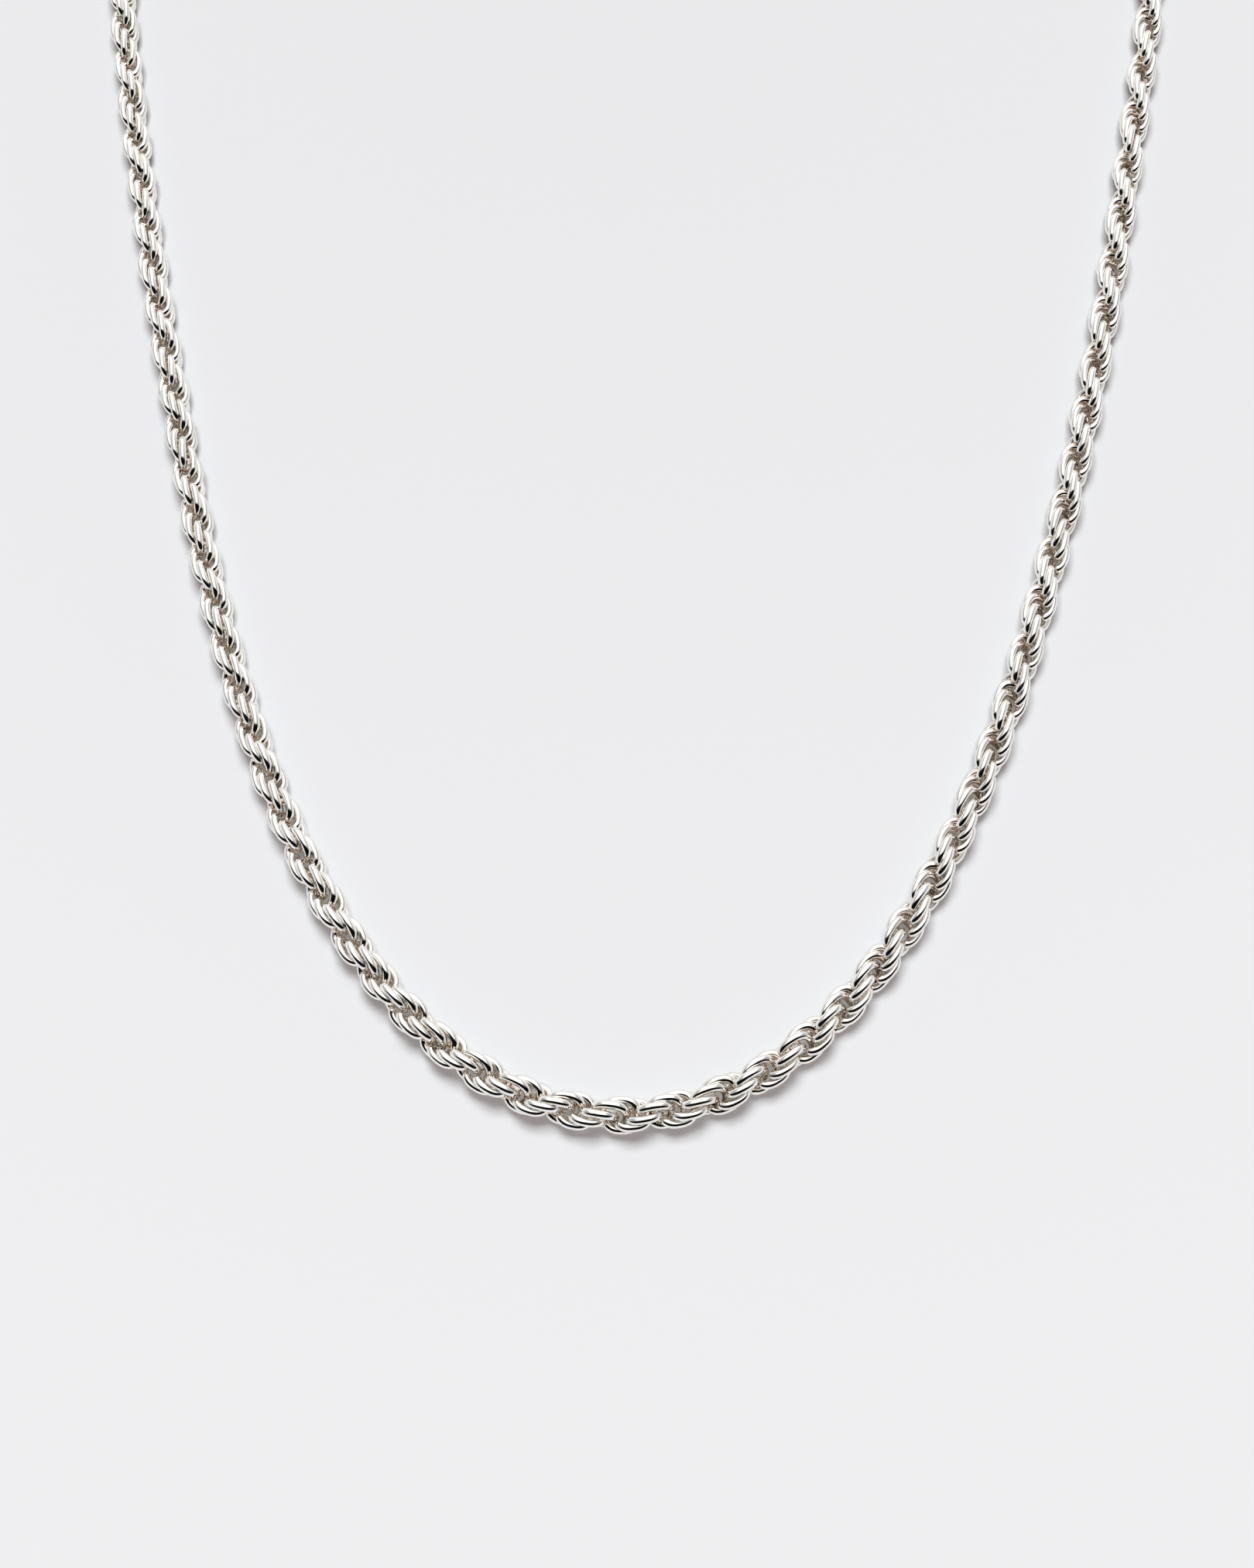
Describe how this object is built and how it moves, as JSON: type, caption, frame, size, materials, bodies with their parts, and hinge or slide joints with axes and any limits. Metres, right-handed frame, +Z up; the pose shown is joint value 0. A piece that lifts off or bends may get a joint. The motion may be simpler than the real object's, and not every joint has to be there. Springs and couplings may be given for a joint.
{
  "type": "rope chain necklace",
  "caption": "Closed necklace of twisted rope chain in polished silver, laid flat in a narrow loop, with barrel end caps, jump rings and a plain ring clasp at the back.",
  "frame": {"origin": "on the surface that the necklace lies on, under the middle of its bounding box", "axes": "+Z up from the surface, +X to the wearer's left along the loop's width, +Y from the front's lowest point towards the clasp"},
  "size_m": [0.1118, 0.1994, 0.0055],
  "materials": {
    "silver_links": "polished sterling silver wire, slightly warm and dark in the crevices between the links",
    "silver_caps": "polished sterling silver, turned barrel",
    "silver_rings": "polished sterling silver wire",
    "silver_clasp": "polished sterling silver bar"
  },
  "bodies": {
    "root": {"rope_chain": "silver_links", "end_cap_left": "silver_caps", "end_cap_right": "silver_caps", "jump_ring_left": "silver_rings", "jump_ring_right": "silver_rings", "clasp": "silver_clasp"}
  },
  "joints": []
}
